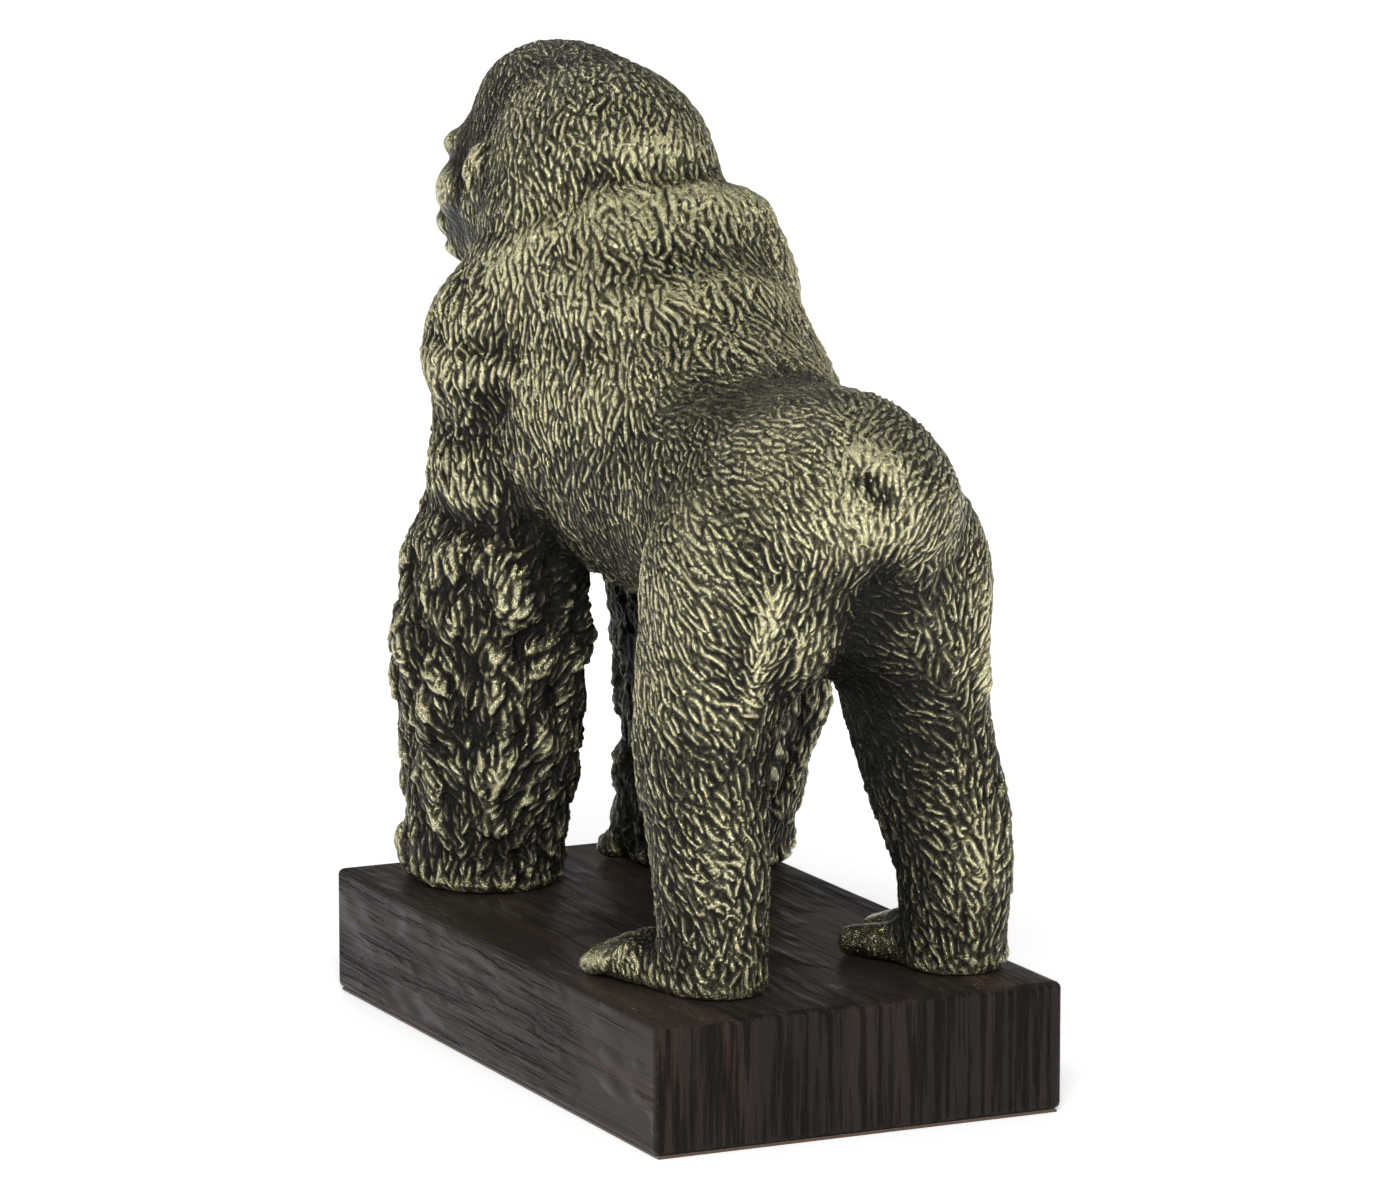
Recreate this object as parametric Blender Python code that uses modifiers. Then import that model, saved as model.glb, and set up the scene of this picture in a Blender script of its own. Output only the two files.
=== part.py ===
"""A cast gorilla standing on all fours, screwed down on a dark wooden plinth.

Metres, +Z up. The origin is the middle of the underside. The gorilla faces -Y and its left side is +X.
"""

import math

import bmesh
import bpy
import numpy as np
from mathutils import Euler, Matrix, Vector, noise

MM = 0.001
LEFT, RIGHT = 1, -1

# Plinth and the felt under it
PLINTH_WIDTH = 170 * MM
PLINTH_LENGTH = 306 * MM
PLINTH_HEIGHT = 49.5 * MM
PLINTH_ROUND = 2.6 * MM
FELT_THICKNESS = 1.0 * MM
FELT_INSET = 1.5 * MM
GAP = 0.3 * MM

# Fixings: a machine screw with a washer, up into each hand and each foot
SCREW_RADIUS = 3.0 * MM
SCREW_BITE = 14 * MM
SCREW_HEAD_RADIUS = 5.0 * MM
SCREW_HEAD_HEIGHT = 6.0 * MM
KEY_WIDTH = 5.0 * MM
KEY_DEPTH = 3.0 * MM
WASHER_RADIUS = 7.5 * MM
WASHER_THICKNESS = 1.5 * MM
COUNTERBORE_RADIUS = 9.0 * MM
COUNTERBORE_DEPTH = 15 * MM
HEEL_SCREW_BACK = 6 * MM
CUT_PAST = 2 * MM

# Stance: where the hands and feet stand on the plinth
BODY_X = -10 * MM
HAND_SPREAD = 49 * MM
HAND_Y = -103 * MM
FOOT_SPREAD = 50 * MM
FOOT_Y = 98 * MM
RIGHT_FOOT_BACK = 7 * MM

# Figure: heights above the plinth's top
SHOULDER_HEIGHT = 205 * MM
HIP_HEIGHT = 168 * MM
HEAD_HEIGHT = 290 * MM
HEAD_X = 3 * MM
HEAD_Y = -114 * MM
HEAD_TURN = 9

# The sculpt's own unit, a 205th of the shoulder height, in which its lumps and strokes are written
CLAY = SHOULDER_HEIGHT / 205

# Fineness of the sculpt
BODY_GRAIN = 3.0 * MM
SKIN_GRAIN = 2.0 * MM
FIGURE_TRIANGLES = 11000

PLINTH_TOP = FELT_THICKNESS + GAP + PLINTH_HEIGHT
SOLE = PLINTH_TOP + GAP


def material(name, colour, roughness, metallic=0.0):
    made = bpy.data.materials.new(name)
    made.use_nodes = True
    shader = made.node_tree.nodes["Principled BSDF"]
    shader.inputs["Base Color"].default_value = (*colour, 1)
    shader.inputs["Roughness"].default_value = roughness
    shader.inputs["Metallic"].default_value = metallic
    return made


def baked(source):
    """The evaluated mesh of an object, in world space. The object is then removed."""
    bpy.context.view_layer.update()
    graph = bpy.context.evaluated_depsgraph_get()
    mesh = bpy.data.meshes.new_from_object(source.evaluated_get(graph))
    mesh.transform(source.matrix_world)
    bpy.data.objects.remove(source)
    return mesh


# Clay: closed lumps and limbs in clay units above the plinth's top, which overlap and are melted together


def lump(clay, centre, radii, turn=(0, 0, 0)):
    """An ellipsoid. turn is in degrees about X, Y and Z."""
    place = Matrix.LocRotScale(
        Vector(centre), Euler([math.radians(angle) for angle in turn]), Vector(radii)
    )
    bmesh.ops.create_icosphere(clay, subdivisions=4, radius=1, matrix=place)


def flowing(rows, steps):
    """More rows between the given ones, on a smooth curve through them."""
    rows = np.array(rows, float)
    ends = np.vstack([2 * rows[0] - rows[1], rows, 2 * rows[-1] - rows[-2]])
    made = []
    for a, b, c, d in zip(ends, ends[1:], ends[2:], ends[3:]):
        for t in np.arange(steps) / steps:
            bend = (2 * a - 5 * b + 4 * c - d) * t**2 + (3 * b - a - 3 * c + d) * t**3
            made.append(b + (c - a) * t / 2 + bend / 2)
    made.append(rows[-1])
    return np.array(made)


def limb(clay, sections, steps=5, sides=26):
    """A loft through ellipses. A section is x, y, z, half width and half depth."""
    rows = flowing(sections, steps)
    rings = []
    for i, row in enumerate(rows):
        along = Vector(rows[min(i + 1, len(rows) - 1)][:3] - rows[max(i - 1, 0)][:3]).normalized()
        wide = (Vector((1, 0, 0)) - along * along.x).normalized()
        deep = along.cross(wide)
        ring = []
        for k in range(sides):
            angle = 2 * math.pi * k / sides
            spot = wide * row[3] * math.cos(angle) + deep * row[4] * math.sin(angle)
            ring.append(clay.verts.new(Vector(row[:3]) + spot))
        rings.append(ring)
    for low, high in zip(rings, rings[1:]):
        for k in range(sides):
            clay.faces.new((low[k - 1], low[k], high[k], high[k - 1]))
    clay.faces.new(rings[0])
    clay.faces.new(reversed(rings[-1]))


def melted(clay, collection, grain, smoothing, onto=None):
    """The lumps, and a finished mesh under them, as one skin."""
    bmesh.ops.recalc_face_normals(clay, faces=clay.faces)
    if onto:
        clay.from_mesh(onto)
    mesh = bpy.data.meshes.new("clay")
    clay.to_mesh(mesh)
    clay.free()
    body = bpy.data.objects.new("clay", mesh)
    collection.objects.link(body)
    remesh = body.modifiers.new("melt", "REMESH")
    remesh.mode = "VOXEL"
    remesh.voxel_size = grain / CLAY
    smooth = body.modifiers.new("smooth", "SMOOTH")
    smooth.factor = 0.5
    smooth.iterations = smoothing
    return baked(body)


def skin_of(mesh):
    """Where a mesh's vertices are, and their normals, as rows of x, y, z."""
    spots = np.empty(len(mesh.vertices) * 3, np.float32)
    mesh.vertices.foreach_get("co", spots)
    normals = np.empty(len(mesh.vertices) * 3, np.float32)
    mesh.vertex_normals.foreach_get("vector", normals)
    return spots.reshape(-1, 3), normals.reshape(-1, 3)


def pushed(mesh, spots, normals, push):
    """Move each vertex along its normal."""
    moved = spots + normals * push[:, None]
    mesh.vertices.foreach_set("co", moved.astype(np.float32).ravel())
    mesh.update()


def stroke(mesh, height, width, path):
    """Raise a roll along a path, or press a crease where height is negative, as a sculptor's thumb would."""
    spots, normals = skin_of(mesh)
    line = flowing(path, 6)
    near = np.full(len(spots), np.inf)
    for a, b in zip(line, line[1:]):
        along = b - a
        t = np.clip((spots - a) @ along / (along @ along), 0, 1)
        near = np.minimum(near, np.linalg.norm(spots - a - t[:, None] * along, axis=1))
    pushed(mesh, spots, normals, height * np.exp(-((near / width) ** 2)))


def clumps(mesh, height, size, chosen):
    """Matted fur: lumps of about one size where chosen, a share from 0 to 1 for each vertex, says."""
    spots, normals = skin_of(mesh)
    share = chosen(spots)
    push = np.zeros(len(spots))
    for i in np.flatnonzero(share > 0.01):
        push[i] = noise.noise(Vector(spots[i] * (1, 1, 0.6)) / size) * height * share[i]
    pushed(mesh, spots, normals, push)


def trunk(clay):
    x = BODY_X / CLAY
    chest, hip = SHOULDER_HEIGHT / CLAY, HIP_HEIGHT / CLAY
    front, back = HAND_Y / CLAY, FOOT_Y / CLAY
    limb(
        clay,
        [
            (x + 5, front - 22, chest - 4, 26, 24),
            (x + 5, front - 10, chest - 2, 46, 48),
            (x + 4, front + 24, chest, 57, 66),
            (x + 3, front + 58, chest - 3, 59, 72),
            (x + 1, front + 92, chest - 14, 57, 69),
            (x, front + 126, chest - 26, 51, 62),
            (x, back - 36, hip + 1, 48, 55),
            (x, back - 4, hip, 50, 56),
            (x, back + 20, hip - 3, 46, 53),
            (x, back + 34, hip - 10, 37, 44),
            (x, back + 42, hip - 17, 20, 28),
        ],
        sides=40,
    )
    lump(clay, (x + 1, front + 56, chest + 37), (58, 54, 48), (-28, 0, 0))
    lump(clay, (x + 4, front - 6, chest - 20), (46, 32, 44))


def arm(clay, side):
    x = BODY_X / CLAY
    swell, bow = (1.06, 0.98) if side == LEFT else (1.2, 1.12)
    out = side * HAND_SPREAD / CLAY
    y, top = HAND_Y / CLAY, SHOULDER_HEIGHT / CLAY
    lump(clay, (x + out * 0.93, y + 14, top + 14), (34, 38, 36), (-12, 0, 0))
    if side == RIGHT:
        lump(clay, (x + out * 0.7, y + 20, top + 32), (36, 42, 40), (-12, 0, 0))
    limb(
        clay,
        [
            (x + out * 0.84, y + 12, top + 10, 27, 38),
            (x + out * 0.88, y + 9, top - 20, 30, 40),
            (x + out * 0.88, y + 6, top - 46, 28, 38),
            (x + out * 0.96, y + 3, top - 74, 32 * swell, 40 * swell),
            (x + out * bow, y + 1, top - 104, 35 * swell, 41 * swell),
            (x + out * bow, y, top - 130, 34 * swell, 39 * swell),
            (x + out * (1 + bow) / 2, y, 50, 31 * swell, 36 * swell),
            (x + out, y - 3, 26, 29 * swell, 33 * swell),
            (x + out, y - 3, 8, 28 * swell, 30 * swell),
            (x + out, y - 3, -8, 28 * swell, 30 * swell),
        ],
    )


def foot_place(side):
    back = RIGHT_FOOT_BACK if side == RIGHT else 0
    return (BODY_X + side * FOOT_SPREAD) / CLAY, (FOOT_Y + back) / CLAY


def leg(clay, side):
    x, y = foot_place(side)
    hip = HIP_HEIGHT / CLAY
    calf, heel = (22, 9) if side == LEFT else (24, 4)
    lump(clay, (x - side * 12, y - 8, hip - 20), (29, 40, 44), (8, 0, 0))
    lump(clay, (x - side * 26, FOOT_Y / CLAY + 12, hip - 20), (28, 30, 38))
    limb(
        clay,
        [
            (x - side * 14, y - 6, hip - 4, 26, 37),
            (x - side * 12, y - 10, hip - 34, 28, 39),
            (x - side * 9, y - 12, hip - 60, 27, 36),
            (x - side * 5, y - 10, hip - 84, 25, 32),
            (x - side * 2, y + 1, hip - 108, calf, calf + 6),
            (x, y + 8, hip - 130, 21, 26),
            (x, y + heel, 18, 20, 24),
            (x, y + heel, 5, 21, 24),
            (x, y + heel, -8, 21, 24),
        ],
    )


def digit(clay, root, tip, size):
    """A finger or toe from its knuckle to its rounded tip."""
    limb(clay, [(*root, size, size), (*tip, size * 0.85, size * 0.8)], steps=2, sides=16)
    lump(clay, root, (size, size, size))
    lump(clay, tip, (size * 0.87, size * 0.95, size * 0.8))


def foot(clay, side):
    x, y = foot_place(side)
    splay = math.radians(16 if side == LEFT else 6) * side
    turned = Matrix.Rotation(splay, 2)

    def at(across, ahead, height):
        spot = turned @ Vector((side * across, -ahead))
        return (x + spot.x, y + spot.y, height)

    lump(clay, at(3, 0, 4), (20, 26, 11), (0, 0, math.degrees(splay)))
    lump(clay, at(2, 20, 5), (21, 26, 13), (0, 0, math.degrees(splay)))
    for across, ahead, size in ((18, 36, 6.2), (9, 43, 6.6), (0, 46, 7.0), (-9, 44, 7.0)):
        digit(clay, at(across * 0.9, ahead - 16, 9), at(across * 1.15, ahead + 4, 4), size)
    digit(clay, at(-15, 4, 8), at(-28, 24, 5), 8.5)


def hand(clay, side):
    x = (BODY_X + side * HAND_SPREAD) / CLAY
    y = HAND_Y / CLAY
    lump(clay, (x, y - 12, 12), (28, 26, 22))
    lump(clay, (x - side * 16, y - 12, 16), (20, 20, 20))
    for across, ahead in ((22, 25), (9, 30), (-5, 31), (-18, 28)):
        digit(clay, (x + side * across, y - ahead, 14), (x + side * across * 0.95, y - ahead + 4, 3), 8.6)
    digit(clay, (x - side * 24, y - 8, 12), (x - side * 35, y - 18, 5), 7.5)


def head_place():
    return Matrix.LocRotScale(
        Vector((HEAD_X, HEAD_Y, HEAD_HEIGHT)) / CLAY, Euler((0, 0, math.radians(HEAD_TURN))), None
    )


def set_on_neck(piece, clay):
    """Move a head's clay from its own frame, where it faces -Y, to its place."""
    bmesh.ops.transform(piece, matrix=head_place(), verts=piece.verts)
    carried = bpy.data.meshes.new("head")
    bmesh.ops.recalc_face_normals(piece, faces=piece.faces)
    piece.to_mesh(carried)
    piece.free()
    clay.from_mesh(carried)
    bpy.data.meshes.remove(carried)


def skull(clay):
    head = bmesh.new()
    lump(head, (0, 8, -2), (38, 46, 38))
    lump(head, (0, 7, 17), (32, 48, 31), (-4, 0, 0))
    lump(head, (0, -30, 4), (33, 15, 14))
    lump(head, (0, -28, -16), (32, 24, 24))
    lump(head, (0, -44, -28), (25, 26, 19))
    lump(head, (0, -34, -38), (24, 26, 14))
    lump(head, (0, -2, -24), (41, 38, 30))
    set_on_neck(head, clay)


def neck(clay):
    x, y, z = HEAD_X / CLAY, HEAD_Y / CLAY, HEAD_HEIGHT / CLAY
    lump(clay, (x - 4, y + 34, z - 4), (46, 52, 46), (-20, 0, 0))
    lump(clay, (x - 3, y + 40, z - 40), (56, 56, 46), (-16, 0, 0))


def face(clay):
    """Brow, eyes, nose, lips and ears of a plain adult gorilla."""
    head = bmesh.new()
    lump(head, (0, -33, 2), (31, 11, 7))
    for side in (LEFT, RIGHT):
        lump(head, (side * 15, -37, 5), (17, 10, 6.5), (0, side * 8, side * 12))
        lump(head, (side * 13, -39, -6), (6.5, 6, 5))
        lump(head, (side * 10, -59, -19), (9, 9, 8.5), (0, side * 20, 0))
        lump(head, (side * 21, -28, -15), (16, 18, 15))
        lump(head, (side * 40, 6, -3), (5, 9, 12), (0, 0, side * 24))
    lump(head, (0, -45, -9), (8, 13, 14), (28, 0, 0))
    lump(head, (0, -63, -20), (8, 8, 8))
    lump(head, (0, -48, -30), (25, 21, 9))
    lump(head, (0, -46, -40), (22, 18, 8))
    lump(head, (0, -38, -46), (17, 16, 10))
    set_on_neck(head, clay)


def face_lines(skin):
    """Sockets round the eyes, the mouth's line and the nostrils."""
    place = head_place()

    def line(height, width, path):
        stroke(skin, height, width, [place @ Vector(spot) for spot in path])

    line(-2.6, 2.6, [(-25, -50, -39), (-14, -65, -36), (0, -69, -35), (14, -65, -36), (25, -50, -39)])
    for side in (LEFT, RIGHT):
        line(-2.2, 2.8, [(side * 5, -46, -2), (side * 10, -46, -1), (side * 21, -41, -3)])
        line(-2.0, 2.8, [(side * 5, -48, -9), (side * 12, -47, -12), (side * 20, -43, -10)])
        line(-3.5, 3.0, [(side * 7, -69, -19), (side * 10, -68, -17)])
        line(-1.6, 2.6, [(side * 19, -56, -14), (side * 22, -54, -22), (side * 22, -54, -30)])
        line(-2.6, 3.2, [(side * 45, 3, 1), (side * 46, 6, -3), (side * 45, 5, -9)])


def folds(skin):
    """The rolls and creases of the thick skin on the neck and left shoulder, and the hair over the arms."""
    place = Vector((BODY_X, HAND_Y, SHOULDER_HEIGHT)) / CLAY

    def line(height, width, path):
        stroke(skin, height, width, [place + Vector(spot) for spot in path])

    line(-4.0, 8, [(52, -30, 54), (60, 6, 58), (59, 41, 63), (45, 57, 74), (30, 66, 84), (11, 73, 86), (-8, 70, 86)])
    line(-1.4, 8, [(-20, 64, 84), (-36, 50, 76), (-46, 20, 62), (-44, -20, 52)])
    line(3.0, 9, [(52, 50, 60), (40, 62, 75), (9, 78, 80), (-20, 80, 78), (-42, 68, 70)])
    line(2.2, 11, [(-8, 78, 86), (-24, 76, 82), (-42, 60, 74)])
    line(-1.8, 8, [(50, 70, 56), (30, 94, 62), (-4, 104, 64), (-34, 94, 60)])
    line(2.6, 10, [(50, 88, 38), (20, 118, 45), (-20, 116, 45)])
    line(-1.8, 9, [(48, 98, 22), (22, 128, 28), (-20, 128, 28)])
    line(-3.0, 7, [(79, 8, 20), (69, 36, 18), (62, 52, 17)])
    line(2.2, 9, [(79, 6, 7), (70, 36, 6), (62, 50, 7)])
    line(-3.5, 7, [(74, -8, -19), (68, 26, -19), (64, 39, -10), (60, 50, 1)])
    line(2.6, 9, [(73, 2, -31), (66, 34, -37), (59, 56, -30)])
    line(3.0, 7, [(74, 0, -42), (66, 32, -46), (56, 54, -46)])
    line(-4.0, 7, [(70, 0, -52), (64, 32, -57), (54, 54, -57)])
    line(-2.5, 8, [(-66, -6, -8), (-62, 30, -14), (-52, 52, -12)])
    line(2.2, 9, [(-68, 0, -24), (-64, 34, -30), (-54, 56, -28)])
    line(-3.0, 8, [(-66, 2, -46), (-62, 34, -50), (-52, 54, -50)])


def haunches(skin):
    """The saddle, the full right cheek, the tail's hollow, and a smooth ridge down the back of each thigh."""
    x, y, hip = BODY_X / CLAY, FOOT_Y / CLAY, HIP_HEIGHT / CLAY
    stroke(skin, -3.0, 16, [(x - 30, y - 78, hip + 64), (x - 32, y - 48, hip + 50)])
    stroke(skin, 3.2, 22, [(x - 26, y + 12, hip + 46), (x - 36, y + 32, hip + 24)])
    stroke(skin, 2.5, 8, [(x + 8, y + 50, hip + 42), (x + 4, y + 54, hip + 36), (x - 2, y + 54, hip + 38)])
    stroke(skin, -4.5, 6, [(x + 8, y + 54, hip + 30), (x + 3, y + 57, hip + 22)])
    stroke(skin, -3.5, 7, [(x, y + 48, hip - 2), (x, y + 40, hip - 36)])
    for side in (LEFT, RIGHT):
        out = 41 if side == LEFT else 56
        stroke(skin, 3.2, 5, [(x + side * (out - 2), y + 38, hip - 16), (x + side * out, y + 34, hip - 32),
                              (x + side * out, y + 24, hip - 58)])


def elbows(skin):
    """The lock of hair that hangs over the back of each elbow."""
    for side in (LEFT, RIGHT):
        x, y, top = (BODY_X + side * HAND_SPREAD) / CLAY, HAND_Y / CLAY, SHOULDER_HEIGHT / CLAY
        lean = side if side == LEFT else 1.6 * side
        stroke(skin, 5.0, 9, [(x + lean * 4, y + 40, top - 66), (x + lean * 8, y + 42, top - 84)])
        stroke(skin, -3.0, 4.5, [(x + lean * 20, y + 34, top - 76), (x + lean * 14, y + 40, top - 98),
                                 (x - lean * 2, y + 42, top - 98), (x - lean * 8, y + 40, top - 82)])


def on_forearms(spots):
    """1 on the forearms, fading out at the elbows and wrists."""
    arms = np.clip((HAND_Y / CLAY + 52 - spots[:, 1]) / 8, 0, 1)
    elbow = (SHOULDER_HEIGHT / CLAY - 40 - spots[:, 2]) / 25
    wrist = (spots[:, 2] - 16) / 20
    return arms * np.clip(elbow, 0, 1) * np.clip(wrist, 0, 1)


def screw_places():
    """One spot in each hand and foot."""
    for side in (LEFT, RIGHT):
        yield BODY_X + side * HAND_SPREAD, HAND_Y
    for side in (LEFT, RIGHT):
        x, y = foot_place(side)
        yield x * CLAY, y * CLAY + HEEL_SCREW_BACK


def cylinder(name, radius, low, high, place, collection, finish=None, sides=32):
    bpy.ops.mesh.primitive_cylinder_add(
        vertices=sides, radius=radius, depth=high - low, location=(*place, (low + high) / 2)
    )
    made = bpy.context.object
    made.name = name
    if finish:
        made.data.materials.append(finish)
    for owner in made.users_collection:
        owner.objects.unlink(made)
    collection.objects.link(made)
    return made


def cut(body, cutter):
    cutter.hide_render = True
    cutter.display_type = "WIRE"
    made = body.modifiers.new(cutter.name, "BOOLEAN")
    made.operation = "DIFFERENCE"
    made.object = cutter


def stood_flat(mesh):
    """Cut the hands and feet off flat at the plinth's top."""
    clay = bmesh.new()
    clay.from_mesh(mesh)
    found = bmesh.ops.bisect_plane(
        clay,
        geom=clay.verts[:] + clay.edges[:] + clay.faces[:],
        dist=1e-4,
        plane_co=(0, 0, 0),
        plane_no=(0, 0, 1),
        clear_inner=True,
    )
    rims = [e for e in found["geom_cut"] if isinstance(e, bmesh.types.BMEdge)]
    bmesh.ops.holes_fill(clay, edges=rims, sides=0)
    clay.to_mesh(mesh)
    clay.free()


def figure(parts, cutters, finish):
    clay = bmesh.new()
    trunk(clay)
    neck(clay)
    skull(clay)
    for side in (LEFT, RIGHT):
        arm(clay, side)
        leg(clay, side)
    core = melted(clay, cutters, BODY_GRAIN, 50)
    clay = bmesh.new()
    face(clay)
    for side in (LEFT, RIGHT):
        hand(clay, side)
        foot(clay, side)
    skin = melted(clay, cutters, SKIN_GRAIN, 3, onto=core)
    folds(skin)
    haunches(skin)
    elbows(skin)
    face_lines(skin)
    clumps(skin, 5.0, 11, on_forearms)
    thin = bpy.data.objects.new("skin", skin)
    cutters.objects.link(thin)
    fewer = thin.modifiers.new("fewer", "DECIMATE")
    fewer.ratio = FIGURE_TRIANGLES / sum(len(face.vertices) - 2 for face in skin.polygons)
    skin = baked(thin)
    stood_flat(skin)
    skin.transform(Matrix.Translation((0, 0, SOLE)) @ Matrix.Scale(CLAY, 4))
    skin.materials.clear()
    skin.materials.append(finish)
    made = bpy.data.objects.new("gorilla_figure", skin)
    parts.objects.link(made)
    for k, place in enumerate(screw_places()):
        hole = cylinder(
            f"figure_hole_{k + 1}", SCREW_RADIUS + GAP, SOLE - CUT_PAST, SOLE + SCREW_BITE + CUT_PAST,
            place, cutters, sides=24,
        )
        cut(made, hole)
    return made


def block(name, size, low, collection, finish):
    bpy.ops.mesh.primitive_cube_add(size=1)
    made = bpy.context.object
    made.name = name
    made.scale = size
    made.location.z = low + size[2] / 2
    bpy.ops.object.transform_apply(location=False, rotation=False, scale=True)
    made.data.materials.append(finish)
    for owner in made.users_collection:
        owner.objects.unlink(made)
    collection.objects.link(made)
    return made


def plinth(parts, cutters, finish):
    made = block(
        "wood_plinth", (PLINTH_WIDTH, PLINTH_LENGTH, PLINTH_HEIGHT), PLINTH_TOP - PLINTH_HEIGHT, parts, finish
    )
    bevel = made.modifiers.new("round", "BEVEL")
    bevel.width = PLINTH_ROUND
    bevel.segments = 3
    under = PLINTH_TOP - PLINTH_HEIGHT
    for k, place in enumerate(screw_places()):
        cut(made, cylinder(
            f"plinth_hole_{k + 1}", SCREW_RADIUS + GAP, under, PLINTH_TOP + CUT_PAST,
            place, cutters, sides=24,
        ))
        cut(made, cylinder(
            f"counterbore_{k + 1}", COUNTERBORE_RADIUS, under - CUT_PAST, under + COUNTERBORE_DEPTH,
            place, cutters,
        ))
    return made


def fixings(parts, cutters, finish):
    """A washer up in each counterbore, and a socket-head screw through it into the figure."""
    seat = PLINTH_TOP - PLINTH_HEIGHT + COUNTERBORE_DEPTH - GAP
    washer_low = seat - WASHER_THICKNESS
    head_top = washer_low - GAP
    for k, place in enumerate(screw_places()):
        washer = cylinder(f"washer_{k + 1}", WASHER_RADIUS, washer_low, seat, place, parts, finish)
        cut(washer, cylinder(
            f"washer_hole_{k + 1}", SCREW_RADIUS + GAP, washer_low - CUT_PAST, seat + CUT_PAST,
            place, cutters, sides=24,
        ))
        head = cylinder(
            f"screw_{k + 1}", SCREW_HEAD_RADIUS, head_top - SCREW_HEAD_HEIGHT, head_top, place, parts, finish
        )
        shank = cylinder(
            f"shank_{k + 1}", SCREW_RADIUS, head_top - CUT_PAST, SOLE + SCREW_BITE, place, cutters, sides=24
        )
        shank.hide_render = True
        shank.display_type = "WIRE"
        joined = head.modifiers.new("shank", "BOOLEAN")
        joined.operation = "UNION"
        joined.object = shank
        low = head_top - SCREW_HEAD_HEIGHT
        cut(head, cylinder(
            f"key_{k + 1}", KEY_WIDTH / math.sqrt(3), low - CUT_PAST, low + KEY_DEPTH, place, cutters, sides=6
        ))


def main():
    for old in list(bpy.data.objects):
        bpy.data.objects.remove(old)
    parts = bpy.data.collections.new("gorilla_on_plinth")
    cutters = bpy.data.collections.new("cutters")
    bpy.context.scene.collection.children.link(parts)
    bpy.context.scene.collection.children.link(cutters)
    brass = material("antique_brass", (0.36, 0.33, 0.19), 0.38, 0.9)
    wood = material("dark_wood", (0.03, 0.022, 0.02), 0.45)
    felt = material("brown_felt", (0.09, 0.05, 0.03), 0.95)
    steel = material("zinc_plated_steel", (0.62, 0.62, 0.6), 0.35, 1.0)
    figure(parts, cutters, brass)
    plinth(parts, cutters, wood)
    fixings(parts, cutters, steel)
    block(
        "base_felt",
        (PLINTH_WIDTH - 2 * FELT_INSET, PLINTH_LENGTH - 2 * FELT_INSET, FELT_THICKNESS),
        0,
        parts,
        felt,
    )


main()
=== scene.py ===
"""Looks for the gorilla on its plinth: fur carved in antiqued brass, dark wood, felt and zinc plate."""

import math

import bmesh
import bpy
import numpy as np
from mathutils import Euler, Matrix, Vector, bvhtree, kdtree, noise


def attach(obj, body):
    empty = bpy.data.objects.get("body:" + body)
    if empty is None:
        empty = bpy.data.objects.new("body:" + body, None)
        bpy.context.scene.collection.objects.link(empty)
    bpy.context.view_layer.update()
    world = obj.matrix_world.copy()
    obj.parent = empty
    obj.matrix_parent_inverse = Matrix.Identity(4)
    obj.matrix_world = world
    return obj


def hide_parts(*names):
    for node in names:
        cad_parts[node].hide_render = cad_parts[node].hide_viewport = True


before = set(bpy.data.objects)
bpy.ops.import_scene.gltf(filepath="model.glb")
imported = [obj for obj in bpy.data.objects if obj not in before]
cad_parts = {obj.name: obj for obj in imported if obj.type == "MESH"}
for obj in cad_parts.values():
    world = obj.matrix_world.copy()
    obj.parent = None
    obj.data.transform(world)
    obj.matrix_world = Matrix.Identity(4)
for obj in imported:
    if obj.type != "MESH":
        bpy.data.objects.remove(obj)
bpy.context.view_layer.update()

MM = 0.001
SEED = 7

# How much of the floor's paleness for the camera is its own, near the plinth and metres away from it
FLOOR_GLOW = {"From_Min": 0.25, "From_Max": 1.2, "To_Min": 0.30, "To_Max": 0.8}

# The soft lamps, all aimed at one spot: power in watts, width and height, and place
AIM = (0, 0, 0.2)
LAMPS = {
    "key": (46, (0.8, 0.7), (0.9, 1.9, 1.6)),
    "left": (9, (0.9, 1.2), (2.3, 0.6, 1.3)),
    "right": (7, (0.8, 1.4), (-2.3, 1.1, 1.1)),
    "front": (12, (1.2, 0.9), (-0.1, -2.0, 2.2)),
}

# The photo's camera: its lens and sensor in millimetres, its place, and its turn and tip in degrees
LENS = 179.6
SENSOR = 36
CAMERA_PLACE = (1.14706, 2.41706, 0.65583)
CAMERA_TURN = 154.5
CAMERA_TIP = 10.1

# The sculpt, in millimetres: its mesh size, the rounds that smooth its facets out, the body's middle,
# the height of its soles, and the rim above them where the fur fades out
GRAIN = 0.93
SMOOTHING = 18
BODY_X = -10.0
SOLE = 51.1
SOLE_RIM = 4.0

# Where the figure is cut into pieces: heights, and distances back from the middle of the plinth
LIMB_CUT = 152
CHEST_CUT = 240
HEAD_CUT = 300
LEGS_BACK = 0
HINDQUARTERS_BACK = 40

# How much of the fur's height the skin under it sinks by, and the relief from a dark hollow to a bright
# crest, in millimetres
SINK = 0.45
CREST_SPAN = 1.1

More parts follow.
